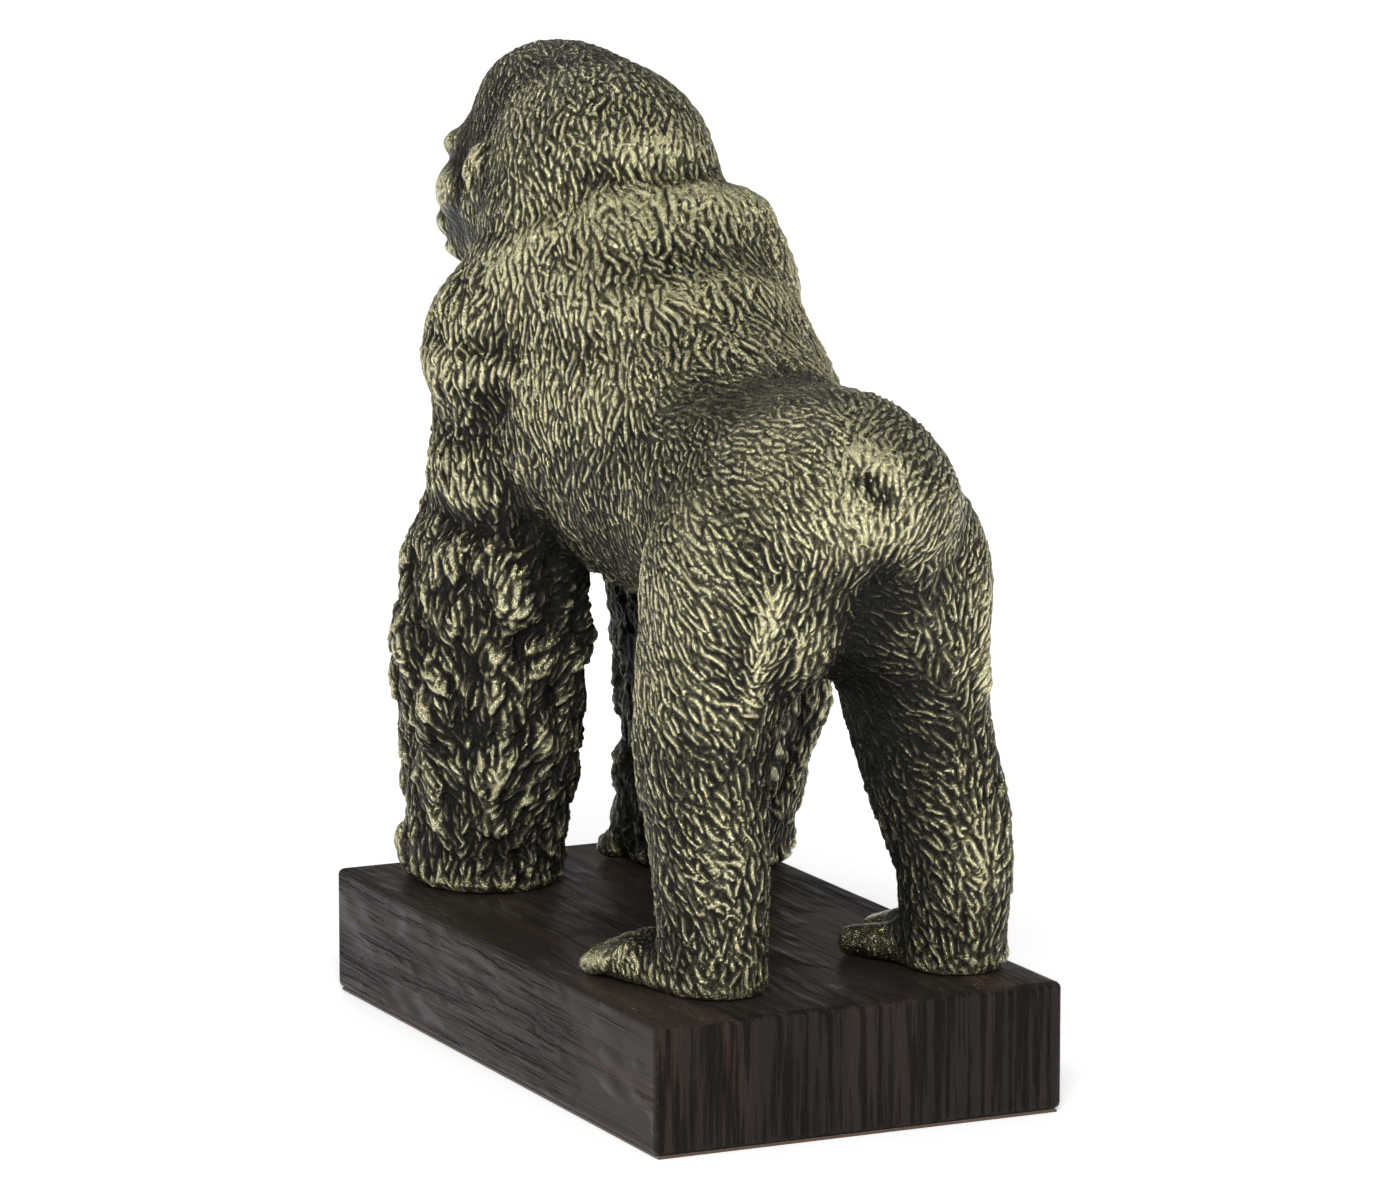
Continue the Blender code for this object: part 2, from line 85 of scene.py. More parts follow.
# A tuft of fur in each area: how long, wide and high, in millimetres, and how well its crest is polished,
# which also
# paints light and shade by area: brighter on the neck, back and whorl, darker on the crown, arms, shins and
# inner thighs
TUFTS = {
    "head": (9.5, 2.6, 1.1, 0.25),
    "crown": (10.0, 2.4, 0.9, -0.2),
    "neck": (12.5, 3.0, 1.5, 1.3),
    "back": (13.5, 3.1, 1.6, 0.8),
    "fold": (12.0, 3.0, 1.6, 0.32),
    "flank": (9.0, 2.8, 1.3, 0.22),
    "belly": (7.0, 2.2, 0.9, 0.25),
    "saddle": (10.0, 1.9, 0.6, 0.05),
    "rump": (11.5, 2.6, 1.1, 0.42),
    "whorl": (11.0, 2.7, 1.3, 0.75),
    "thigh": (12.5, 2.7, 1.2, 0.50),
    "inner thigh": (12.5, 2.7, 1.2, -0.30),
    "shin": (11.0, 2.7, 1.3, -0.1),
    "arm": (12.0, 3.0, 1.4, -0.2),
    "bare": (6.0, 2.4, 0.0, 0.05),
}

# A lock in each area that has them, a pointed overlapping scale that many tufts run together on
LOCKS = {
    "neck": (20.0, 11.0, 0.8),
    "fold": (20.0, 11.0, 1.4),
    "back": (20.0, 11.0, 0.7),
    "thigh": (18.0, 10.0, 0.5),
    "inner thigh": (18.0, 10.0, 0.5),
    "shin": (18.0, 9.0, 1.0),
    "arm": (25.0, 13.5, 3.8),
}
NO_LOCK = (18.0, 10.0, 0.0)

# The tufts of the first round are full size, and smaller ones then fill the gaps between them.
# Each grows from its own small cell of the skin, in millimetres.
TUFT_SCALES = (1.0, 0.62)
TUFT_CELL = 1.9

# How far out the figure shades itself, in millimetres, the rays that tell it, how far off the skin they
# start, and how much light the plinth under it sends back
SHADE_REACH = 70
SHADE_RAYS = 48
RAY_START = 2.5
PLINTH_LIGHT = 0.4

# How far around a tuft the skin is compared with it, to tell the tops of the rolls from the creases,
# and how far even skin and the top of a roll stand out from there, in millimetres
ROLL_REACH = 14
EVEN_STAND = 0.6
ROLL_STAND = 1.8
DEEPEST_CREASE = -0.65

# How bright the patina is: lighter where a tuft sees more of the room, which paints the figure's shade on
# itself as well as the patina that hidden places keep, lighter by its area's polish, which also paints light
# and shade by area, and lighter on the top of a roll and darker in a crease, which paints highlight bands and
# crease shade
PAINTED_SHADE_SHARE = 1.6
POLISH_AND_LIGHT_SHARE = 0.8
ROLL_WEAR_AND_LIGHT_SHARE = 0.45

# Moves a noise away from the others made at the same spots
ELSEWHERE = Vector((31.7, 12.9, 57.3))

# Which way the fur lies: a spot on the figure, the way its tufts point there, and the area. The left side's
# rows are repeated on the right, beside the right side's own.
LEFT_LAY = [
    ((8, -61, 377), (0.34, 0.82, -0.45), "head"),
    ((31, -107, 370), (0.45, 0.65, -0.5), "crown"),
    ((36, -118, 353), (0.1, 0.1, -0.98), "crown"),
    ((34, -85, 365), (0.52, 0.62, -0.58), "head"),
    ((33, -150, 309), (-0.1, -0.1, -0.99), "head"),
    ((42, -91, 344), (-0.06, -0.2, -0.95), "head"),
    ((31, -50, 352), (0.17, 0.37, -0.91), "head"),
    ((41, -113, 320), (-0.17, -0.2, -0.95), "head"),
    ((34, -43, 327), (0.32, 0.70, -0.63), "neck"),
    ((1, -21, 334), (0.05, 0.70, -0.71), "neck"),
    ((40, -30, 311), (0.18, 0.54, -0.82), "back"),
    ((-7, -2, 316), (0.06, 0.72, -0.69), "back"),
    ((24, 18, 289), (0.16, 0.67, -0.72), "back"),
    ((53, -59, 293), (0.03, -0.23, -0.97), "back"),
    ((41, 10, 262), (0.07, 0.37, -0.93), "back"),
    ((15, 36, 283), (0.10, 0.76, -0.64), "back"),
    ((50, -27, 257), (0.09, 0.29, -0.95), "back"),
    ((59, -83, 294), (0.33, 0.48, -0.81), "fold"),
    ((64, -83, 251), (-0.02, -0.2, -0.98), "fold"),
    ((51, -62, 241), (0.08, 0.36, -0.93), "fold"),
    ((62, -82, 223), (0.05, 0.45, -0.89), "fold"),
    ((40, 26, 233), (-0.03, 0.31, -0.95), "flank"),
    ((52, 87, 220), (0.28, 0.83, -0.49), "flank"),
    ((45, 0, 234), (-0.13, -0.12, -0.98), "flank"),
    ((30, 67, 250), (0.31, 0.81, -0.50), "flank"),
    ((30, 20, 190), (0.0, 0.4, -0.92), "belly"),
    ((0, 10, 170), (0.0, 1.0, 0.0), "belly"),
    ((20, 54, 264), (-0.44, 0.88, 0.18), "saddle"),
    ((0, 75, 268), (-0.3, 0.95, 0.10), "saddle"),
    ((8, 98, 267), (-0.19, 0.98, 0.10), "saddle"),
    ((16, 110, 263), (-0.4, 0.9, -0.03), "rump"),
    ((18, 127, 257), (-0.45, 0.85, -0.26), "rump"),
    ((30, 109, 248), (-0.3, 0.9, -0.15), "rump"),
    ((34, 116, 237), (-0.35, 0.9, -0.2), "rump"),
    ((35, 97, 243), (-0.13, 0.95, -0.1), "rump"),
    ((21, 143, 239), (-0.4, 0.65, -0.62), "rump"),
    ((45, 110, 224), (-0.28, 0.90, -0.33), "thigh"),
    ((53, 101, 214), (-0.01, 0.87, -0.49), "thigh"),
    ((38, 125, 212), (-0.53, 0.65, -0.54), "thigh"),
    ((48, 116, 190), (-0.52, 0.55, -0.65), "thigh"),
    ((56, 96, 197), (-0.05, 0.39, -0.92), "thigh"),
    ((56, 80, 175), (0.12, 0.54, -0.84), "thigh"),
    ((52, 106, 175), (-0.30, 0.59, -0.75), "thigh"),
    ((41, 120, 171), (-0.64, 0.39, -0.66), "thigh"),
    ((21, 134, 182), (0.35, -0.39, -0.85), "thigh"),
    ((19, 140, 205), (0.39, -0.17, -0.90), "thigh"),
    ((50, 62, 190), (0.1, 0.5, -0.85), "thigh"),
    ((58, 80, 128), (0.11, 0.69, -0.72), "shin"),
    ((50, 117, 126), (-0.29, 0.56, -0.78), "shin"),
    ((53, 123, 97), (-0.35, 0.61, -0.71), "shin"),
    ((61, 105, 75), (0.04, 0.39, -0.92), "shin"),
    ((20, 105, 110), (0.1, 0.5, -0.85), "shin"),
    ((40, 75, 100), (0.0, 0.1, -1.0), "shin"),
    ((70, -100, 173), (0.20, 0.27, -0.94), "arm"),
    ((70, -91, 105), (-0.29, 0.46, -0.84), "arm"),
    ((73, -88, 139), (0.22, 0.76, -0.61), "arm"),
    ((56, -63, 133), (-0.01, -0.19, -0.98), "arm"),
    ((28, -67, 104), (0.64, 0.04, -0.77), "arm"),
    ((35, -62, 182), (0.67, 0.05, -0.74), "arm"),
    ((17, -66, 153), (0.62, 0.46, -0.63), "arm"),
    ((65, -90, 68), (-0.10, 0.04, -0.99), "arm"),
    ((47, -75, 65), (-0.05, -0.12, -0.99), "arm"),
    ((63, -75, 188), (0.21, 0.21, -0.95), "arm"),
    ((45, -140, 170), (0.1, 0.2, -0.97), "arm"),
    ((45, -138, 110), (0.1, 0.2, -0.97), "arm"),
]
MIDDLE_LAY = [
    ((0, -110, 384), (0.0, 1.0, 0.1), "crown"),
    ((2, -85, 387), (0.1, 1.0, 0.0), "crown"),
    ((10, -95, 384), (0.3, 0.9, -0.1), "crown"),
    ((-5, -150, 250), (0.0, -0.1, -1.0), "flank"),
    ((-5, -120, 200), (0.0, 0.1, -1.0), "belly"),
    ((-10, 155, 215), (0.0, -0.2, -1.0), "rump"),
]
RIGHT_LAY = [
    ((-5, 150, 248), (0.1, 0.5, -0.86), "whorl"),
    ((-23, 134, 263), (0.71, 0.69, -0.16), "rump"),
    ((-26, 144, 255), (0.67, 0.72, -0.16), "rump"),
    ((-33, 147, 244), (0.62, 0.75, -0.21), "rump"),
    ((-31, 153, 228), (0.58, 0.38, -0.72), "rump"),
    ((-19, 138, 198), (-0.89, 0.12, -0.43), "inner thigh"),
    ((-19, 127, 177), (-0.83, 0.28, -0.48), "inner thigh"),
    ((-38, 123, 156), (-0.77, 0.33, -0.55), "inner thigh"),
    ((-43, 124, 119), (-0.56, 0.65, -0.52), "shin"),
    ((-47, 132, 82), (-0.31, 0.27, -0.91), "shin"),
]

# The head's own frame: where it is, and how far it is turned about Z. It faces -Y.
HEAD_PLACE = (3.0, -114.0, 341.1)
HEAD_TURN = 9

# Bare skin: spots in the head's frame, and on the hands and feet
BARE_FACE = [(0, -62, -20), (0, -46, -8), (13, -44, -4), (-13, -44, -4), (20, -52, -28), (-20, -52, -28),
             (0, -60, -42), (26, -36, -14), (-26, -36, -14)]
BARE_LIMBS = [(39, -135, 58), (-59, -135, 58), (48, 52, 58), (-66, 62, 58), (14, 72, 58), (-36, 80, 58)]

# Grooves between the fingers and the toes: height and width, how far each is from the limb's middle line,
# and a path as distances ahead of the limb's place and above the sole. A limb is its place and its splay.
FINGER_GROOVE = (-1.5, 1.7, (15.5, 2.0, -11.5), [(28, 30), (36, 25), (40, 13), (38, 4)])
HANDS = [(1, 49, -103, 0), (-1, 49, -103, 0)]
TOE_GROOVE = (-1.1, 1.3, (12.6, 4.2, -4.3), [(22, 18), (36, 15), (52, 9)])
FEET = [(1, 50, 98, 16), (-1, 50, 105, 6)]

# Lines cut or raised on the face: height, width and a path on the left side, mirrored to the right
FACE_LINES = [
    (-1.2, 0.9, [(6, -47, -5.5), (11, -48, -4.2), (16, -46, -4.6), (20.5, -43, -7.5)]),
    (-1.0, 0.9, [(6.5, -47, -9), (12, -48, -10), (17, -46, -9.5), (20.5, -43, -7.8)]),
    (0.7, 1.3, [(6, -46, -3.5), (11, -47, -1.8), (16, -46, -2.2), (21, -42, -5.5)]),
    (0.6, 1.3, [(7, -47, -11), (12, -47, -12.2), (17, -45, -11.6), (21.5, -42, -9.5)]),
    (0.7, 1.9, [(11, -48, -7.2), (15, -47, -7.2)]),
    (-0.9, 0.8, [(12.4, -49, -7), (13.2, -49, -7)]),
    (-0.5, 1.0, [(8, -50, -15), (14, -49, -16), (21, -44, -14)]),
    (-0.6, 1.1, [(4, -48, 9), (13, -48, 12), (22, -45, 9)]),
    (-2.6, 2.2, [(7.5, -69, -20), (10, -68, -18), (12.5, -66, -18)]),
    (-0.9, 1.4, [(17, -60, -12), (20, -56, -20), (18, -60, -27)]),
    (-0.7, 1.2, [(21, -54, -20), (25, -48, -28), (27, -46, -36)]),
    (-1.6, 1.0, [(0, -69, -35), (14, -65, -36), (24, -52, -39)]),
    (0.6, 1.3, [(0, -70, -32.5), (14, -66, -33.5), (23, -54, -36)]),
    (0.6, 1.4, [(0, -68, -38), (13, -63, -39), (21, -54, -41)]),
    (-0.7, 1.6, [(0, -62, -44), (12, -58, -44)]),
    (-0.5, 0.8, [(0, -56, -1), (5, -54, -1.5)]),
    (-0.5, 0.8, [(0, -58, -5), (5, -56, -5.5)]),
    (-0.5, 0.8, [(0, -60, -9), (6, -58, -10)]),
    (-0.35, 0.7, [(3, -72, -27), (3, -70, -31)]),
    (-0.35, 0.7, [(8, -70, -28), (8.5, -69, -32)]),
    (-0.35, 0.7, [(13, -67, -28), (14, -66, -32)]),
    (-0.35, 0.7, [(18, -61, -28), (19, -60, -33)]),
]


def coordinates(mesh):
    spots = np.empty(len(mesh.vertices) * 3, np.float32)
    mesh.vertices.foreach_get("co", spots)
    return spots.reshape(-1, 3)


def normals_of(mesh):
    normals = np.empty(len(mesh.vertices) * 3, np.float32)
    mesh.vertex_normals.foreach_get("vector", normals)
    return normals.reshape(-1, 3)


def settled(body):
    """The evaluated mesh of an object, which is then removed."""
    bpy.context.view_layer.update()
    graph = bpy.context.evaluated_depsgraph_get()
    mesh = bpy.data.meshes.new_from_object(body.evaluated_get(graph))
    bpy.data.objects.remove(body)
    return mesh


def with_modifiers(mesh, name, *modifiers):
    """A mesh put through modifiers, each given as its type and its settings."""
    body = bpy.data.objects.new(name, mesh)
    bpy.context.scene.collection.objects.link(body)
    for kind, settings in modifiers:
        made = body.modifiers.new(kind.lower(), kind)
        for key, value in settings.items():
            setattr(made, key, value)
    return settled(body)


def fine_skin(node):
    """The CAD figure in millimetres as an even, fine mesh, with its facets smoothed out."""
    mesh = node.data.copy()
    spots = coordinates(mesh) / MM
    mesh.vertices.foreach_set("co", spots.ravel())
    return with_modifiers(
        mesh,
        "fine",
        ("REMESH", {"mode": "VOXEL", "voxel_size": GRAIN}),
        ("SMOOTH", {"factor": 0.5, "iterations": SMOOTHING}),
    )


def head_place():
    return Matrix.LocRotScale(Vector(HEAD_PLACE), Euler((0, 0, math.radians(HEAD_TURN))), None)


def guides():
    """The lay's spots, ways and tuft sizes as arrays, with the left side's repeated on the right."""
    rows = LEFT_LAY + MIDDLE_LAY + RIGHT_LAY
    for (x, y, z), (way_x, way_y, way_z), area in LEFT_LAY:
        if area not in ("rump", "saddle") or x > BODY_X + 30:
            rows.append(((2 * BODY_X - x, y, z), (-way_x, way_y, way_z), area))
    head = head_place()
    for spot in BARE_FACE:
        rows.append((head @ Vector(spot), (0, 0, -1), "bare"))
    for spot in BARE_LIMBS:
        rows.append((spot, (0, 0, -1), "bare"))
    spots = np.array([row[0] for row in rows], float)
    ways = np.array([row[1] for row in rows], float)
    sizes = np.array([TUFTS[row[2]] + LOCKS.get(row[2], NO_LOCK) for row in rows], float)
    return spots, ways, sizes


def lay_at(spots, normals):
    """The way the fur lies and the sizes of its tufts and locks at each spot, blended from the guides."""
    guide_spots, guide_ways, guide_sizes = guides()
    ways = np.empty((len(spots), 3))
    sizes = np.empty((len(spots), 7))
    for first in range(0, len(spots), 4000):
        part = slice(first, first + 4000)
        apart = ((spots[part, None] - guide_spots) ** 2).sum(2)
        weight = 1 / (apart + 30) ** 2
        weight /= weight.sum(1, keepdims=True)
        ways[part] = weight @ guide_ways
        sizes[part] = weight @ guide_sizes
    ways -= (ways * normals).sum(1)[:, None] * normals
    ways /= np.linalg.norm(ways, axis=1)[:, None] + 1e-9
    return ways, sizes


def tree_of(spots):
    tree = kdtree.KDTree(len(spots))
    for i, spot in enumerate(spots):
        tree.insert(spot, i)
    tree.balance()
    return tree


def tuft_places(spots, chance):
    """Vertices, one at random in each small cell, in a random order."""
    order = chance.permutation(len(spots))
    cells = np.floor(spots[order] / TUFT_CELL).astype(np.int64)
    keys = (cells[:, 0] * 1000 + cells[:, 1]) * 1000 + cells[:, 2]
    first = np.unique(keys, return_index=True)[1]
    return order[chance.permutation(first)]


def strokes():
    """The lines on the face, the hands and the feet: height, width and paths in the row frame."""
    head = head_place()
    for height, width, path in FACE_LINES:
        both = [[head @ Vector((side * x, y, z)) for x, y, z in path] for side in (1, -1)]
        yield height, width, both
    for (height, width, gaps, path), limbs in ((FINGER_GROOVE, HANDS), (TOE_GROOVE, FEET)):
        for side, out, y, splay in limbs:
            turned = Matrix.Rotation(math.radians(splay) * side, 3, "Z")
            place = Vector((BODY_X + side * out, y, SOLE))
            for across in gaps:
                groove = [place + turned @ Vector((side * across, -ahead, up)) for ahead, up in path]
                yield height, width, [groove]


def engraved(spots, near):
    """How high the lines on the bare skin stand at each vertex."""
    raised = np.zeros(len(spots))
    for height, width, paths in strokes():
        depth = np.zeros(len(spots))
        for path in paths:
            for a, b in zip(path, path[1:]):
                steps = max(2, int((b - a).length / (0.5 * width)))
                for k in range(steps + 1):
                    middle = near.find(a.lerp(b, k / steps))[0]
                    for spot, i, apart in near.find_range(middle, 2.2 * width):
                        depth[i] = max(depth[i], math.exp(-((apart / width) ** 2)))
        raised += height * depth
    return raised


def spread(spots, ways, sides, lengths, widths, near_seeds):
    """Some of the seeds, none of them inside the ellipse of one chosen before it."""
    taken = np.zeros(len(spots), bool)
    chosen = []
    for k, spot in enumerate(spots):
        if taken[k]:
            continue
        chosen.append(k)
        found = np.array([i for place, i, apart in near_seeds.find_range(spot, max(lengths[k], widths[k]))])
        offset = spots[found] - spot
        along = offset @ ways[k] / lengths[k]
        across = offset @ sides[k] / widths[k]
        taken[found[along**2 + across**2 < 1]] = True
    return chosen


def around(spot, normal, way, length, spots, normals, near):
    """The vertices near a tuft on its own side of the skin, and how far along and across it they are."""
    found = np.array([i for place, i, apart in near.find_range(spot, length * 0.6)])
    found = found[normals[found] @ normal > 0.1]
    offset = spots[found] - spot
    return found, offset @ way / (length / 2), offset @ np.cross(normal, way)


def locks(spots, normals, near, seeds, ways, sides, sizes, near_seeds, chance):
    """How high the locks stand at each vertex, and how the tufts on them lean to their lock's middle line."""
    raised = np.zeros(len(spots))
    lean = np.zeros((len(spots), 3))
    for k in spread(spots[seeds], ways, sides, 0.36 * sizes[:, 4], 0.62 * sizes[:, 5], near_seeds):
        length, width, height = sizes[k, 4:] * chance.uniform((0.8, 0.8, 0.6), (1.25, 1.2, 1.4))
        if height < 0.1:
            continue
        turn = chance.normal(0, 0.22)
        way = ways[k] * math.cos(turn) + sides[k] * math.sin(turn)
        seed = seeds[k]
        found, along, across = around(spots[seed], normals[seed], way, length, spots, normals, near)
        across = across / (width / 2)
        tip = 1 - 0.75 * np.abs(across)
        rise = np.clip((along + 1) / 1.7, 0, 1)
        fall = np.clip((tip - along) / 0.22, 0, 1)
        shape = height * rise * np.sqrt(fall) * np.clip(1 - across**2, 0, 1)
        higher = shape > raised[found]
        owned = found[higher]
        raised[owned] = shape[higher]
        strength = (np.clip(height, 0, 1) * np.clip(along + 1, 0, 1) * across)[higher]
        lean[owned] = -strength[:, None] * np.cross(normals[seed], way)
    return raised, lean


def openness(figure, spots, normals):
    """How much of the room each spot sees past the rest of the figure, from 0 to 1."""
    tree = bvhtree.BVHTree.FromPolygons(
        [v.co / MM for v in figure.vertices], [list(p.vertices) for p in figure.polygons]
    )
    turn = math.pi * (3 - math.sqrt(5))
    ways = []
    for k in range(SHADE_RAYS):
        z = 1 - (2 * k + 1) / SHADE_RAYS
        flat = math.sqrt(1 - z * z)
        ways.append(Vector((flat * math.cos(turn * k), flat * math.sin(turn * k), z)))
    seen = np.zeros(len(spots))
    for i, (spot, normal) in enumerate(zip(spots, normals)):
        normal = Vector(normal)
        start = Vector(spot) + RAY_START * normal
        total = 0
        for way in ways:
            share = way.dot(normal)
            if share < 0.15:
                continue
            total += share
            if tree.ray_cast(start, way, SHADE_REACH)[0] is None:
                seen[i] += share * (PLINTH_LIGHT if way.z < -0.25 else 1)
        seen[i] /= total
    return seen


def rolls(spots, normals, places, near_places):
    """How far the skin at each spot stands out from that around it, under 0 in a crease, 1 on a roll."""
    stands = np.empty(len(spots))
    for k, (spot, normal) in enumerate(zip(spots, normals)):
        found = [i for place, i, apart in near_places.find_range(spot, ROLL_REACH)]
        stands[k] = (spot - places[found].mean(0)) @ normal
    return np.clip((stands - EVEN_STAND) / ROLL_STAND, DEEPEST_CREASE, 1)


def fur(figure, spots, normals, near):
    """The carved fur: how high its locks and its tufts stand at each vertex, and what its patina and painted
    light and shade follow.
    """
    chance = np.random.default_rng(SEED)
    seeds = tuft_places(spots, chance)
    ways, sizes = lay_at(spots[seeds], normals[seeds])
    sides = np.cross(normals[seeds], ways)
    near_seeds = tree_of(spots[seeds])
    raised, lean = locks(spots, normals, near, seeds, ways, sides, sizes, near_seeds, chance)
    ways = ways + 0.75 * lean[seeds]
    ways /= np.linalg.norm(ways, axis=1)[:, None]
    sides = np.cross(normals[seeds], ways)
    ridges = np.zeros(len(spots))
    border = np.full(len(spots), 2.0)
    strand = np.zeros((len(spots), 3))
    chosen = spread(spots[seeds], ways, sides, 0.48 * sizes[:, 0], 0.80 * sizes[:, 1], near_seeds)
    for scale in TUFT_SCALES:
        for k in chosen:
            varied = chance.uniform((0.7, 0.75, 0.6), (1.4, 1.35, 1.3))
            length, width, height = scale * sizes[k, :3] * varied
            if height < 0.05:
                continue
            seed = seeds[k]
            place = Vector(spots[seed])
            turn = 0.3 * noise.noise(place / 16) + chance.normal(0, 0.06)
            way = ways[k] * math.cos(turn) + sides[k] * math.sin(turn)
            found, along, across = around(spots[seed], normals[seed], way, length, spots, normals, near)
            bend = (0.8 * noise.noise(place / 11 + ELSEWHERE) + chance.normal(0, 0.12)) * width
            wave = (0.9 * noise.noise(place / 11 - ELSEWHERE) + chance.normal(0, 0.12)) * width
            across = across + bend * along**2 + wave * np.sin(3 * along)
            share = np.abs(across) / (width / 2 * (0.3 + 0.85 * np.clip(1 - along**2, 0, 1) ** 0.8))
            share = np.hypot(share, np.clip(np.abs(along) - 0.9, 0, 1) * length / width)
            free = np.clip((border[found] - 0.85) / 0.5, 0, 1)
            rise = np.clip(0.5 + 0.3 * (along + 1), 0, 1) * np.clip((along + 1) / 0.6, 0, 1)
            fall = np.sqrt(np.clip((1 - along) / 0.35, 0, 1))
            ridge = height * np.clip(1 - share**1.3, 0, 1) * rise * fall * free
            ridges[found] = np.maximum(ridges[found], ridge)
            closer = share < border[found]
            owned = found[closer]
            border[owned] = share[closer]
            strand[owned, 0] = across[closer]
            strand[owned, 1] = along[closer] * length / 2
            strand[owned, 2] = 0.37 * (k % 997)
        if scale == TUFT_SCALES[0]:
            first = chosen
            chosen = np.flatnonzero((border[seeds] > 1.1) & (chance.random(len(seeds)) < 0.4))
    middles = seeds[first]
    # Darker where a tuft sees little of the room past the figure: painted shade, together with the patina
    # that hidden places keep; and by its area's polish, which also paints light and shade by area
    bright = PAINTED_SHADE_SHARE * openness(figure, spots[middles], normals[middles]) + POLISH_AND_LIGHT_SHARE * sizes[first, 3]
    # Brighter on the tops of rolls and darker in their creases: polish on the rolls, plus painted highlight
    # bands and painted crease shade
    bright += ROLL_WEAR_AND_LIGHT_SHARE * rolls(spots[middles], normals[middles], spots[seeds], near_seeds)
    near_middles = tree_of(spots[middles])
    rubbed_and_lit = bright[[near_middles.find(spot)[1] for spot in spots]]
    return raised, ridges, {"border": border, "rubbed_and_lit": rubbed_and_lit, "strand": strand}


def mean_of_neighbours(edges, count, values, rounds):
    """Values at vertices, averaged along the edges a number of times."""
    for _ in range(rounds):
        total = np.bincount(edges[:, 0], values[edges[:, 1]], count)
        total += np.bincount(edges[:, 1], values[edges[:, 0]], count)
        values = (total / degree_of(edges, count) + values) / 2
    return values


def degree_of(edges, count):
    return np.bincount(edges.ravel(), minlength=count).clip(1)


def edges_of(mesh):
    edges = np.empty(len(mesh.edges) * 2, np.int32)
    mesh.edges.foreach_get("vertices", edges)
    return edges.reshape(-1, 2)


def keep(mesh, name, values):
    """Keep a number or a vector for each vertex in the mesh, for its material."""
    kind, key = ("FLOAT", "value") if values.ndim == 1 else ("FLOAT_VECTOR", "vector")
    mesh.attributes.new(name, kind, "POINT").data.foreach_set(key, values.astype(np.float32).ravel())


def carve(mesh, figure):
    """Raise the fur on the skin, and keep what its patina and painted light and shade follow, such as how far
    each vertex stands out.
    """
    spots, normals = coordinates(mesh), normals_of(mesh)
    near = tree_of(spots)
    raised, ridges, followed = fur(figure, spots, normals, near)
    edges = edges_of(mesh)
    raised = mean_of_neighbours(edges, len(spots), raised, 2) + ridges
    raised *= np.clip((spots[:, 2] - SOLE) / SOLE_RIM, 0, 1)
    level = mean_of_neighbours(edges, len(spots), raised, 30)
    moved = spots + normals * (raised - SINK * level + engraved(spots, near))[:, None]
    moved[:, 2] = np.maximum(moved[:, 2], SOLE)
    mesh.vertices.foreach_set("co", moved.astype(np.float32).ravel())
    mesh.update()
    even = np.stack([mean_of_neighbours(edges, len(spots), moved[:, i], 16) for i in range(3)], 1)
    out = ((moved - even) * normals_of(mesh)).sum(1)
    followed["rubbed_and_lit"] = mean_of_neighbours(edges, len(spots), followed["rubbed_and_lit"], 12)
    for name, values in followed.items():
        keep(mesh, name, values)
    keep(mesh, "crest", np.clip(0.5 + out / CREST_SPAN, 0, 1))
    keep(mesh, "outward", normals_of(mesh))


def halves(mesh, spot, way):
    """The mesh cut by a plane into the part behind it and the part ahead of it, each one closed."""
    made = []
    for keep_ahead in (False, True):
        body = bmesh.new()
        body.from_mesh(mesh)
        found = bmesh.ops.bisect_plane(
            body,
            geom=body.verts[:] + body.edges[:] + body.faces[:],
            dist=1e-4,
            plane_co=spot,
            plane_no=way,
            clear_inner=keep_ahead,
            clear_outer=not keep_ahead,
        )
        rims = [e for e in found["geom_cut"] if isinstance(e, bmesh.types.BMEdge)]
        bmesh.ops.holes_fill(body, edges=rims, sides=0)
        part = bpy.data.meshes.new("part")
        body.to_mesh(part)
        body.free()
        made.append(part)
    bpy.data.meshes.remove(mesh)
    return made


def figure(finish):
    """The carved figure in six closed pieces, each under 200,000 triangles."""
    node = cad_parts["gorilla_figure"]
    mesh = fine_skin(node)
    carve(mesh, node.data)
    low, high = halves(mesh, (0, 0, LIMB_CUT), (0, 0, 1))
    arms, legs = halves(low, (0, LEGS_BACK, 0), (0, 1, 0))
    front, rear = halves(high, (0, HINDQUARTERS_BACK, 0), (0, 1, 0))
    chest, top = halves(front, (0, 0, CHEST_CUT), (0, 0, 1))
    shoulders, head = halves(top, (0, 0, HEAD_CUT), (0, 0, 1))
    for name, part in (
        ("forearms_and_hands", arms),
        ("hind_legs", legs),
        ("hindquarters", rear),
        ("chest", chest),
        ("shoulders", shoulders),
        ("head", head),
    ):
        outward = np.empty(len(part.vertices) * 3, np.float32)
        part.attributes["outward"].data.foreach_get("vector", outward)
        spots = coordinates(part) * MM
        part.vertices.foreach_set("co", spots.astype(np.float32).ravel())
        part.attributes.remove(part.attributes["outward"])
        part.polygons.foreach_set("use_smooth", np.ones(len(part.polygons), bool))
        part.normals_split_custom_set_from_vertices(outward.reshape(-1, 3))
        part.materials.clear()
        part.materials.append(finish)
        piece = bpy.data.objects.new(name, part)
        bpy.context.scene.collection.objects.link(piece)
        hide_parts("gorilla_figure")
        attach(piece, "root")


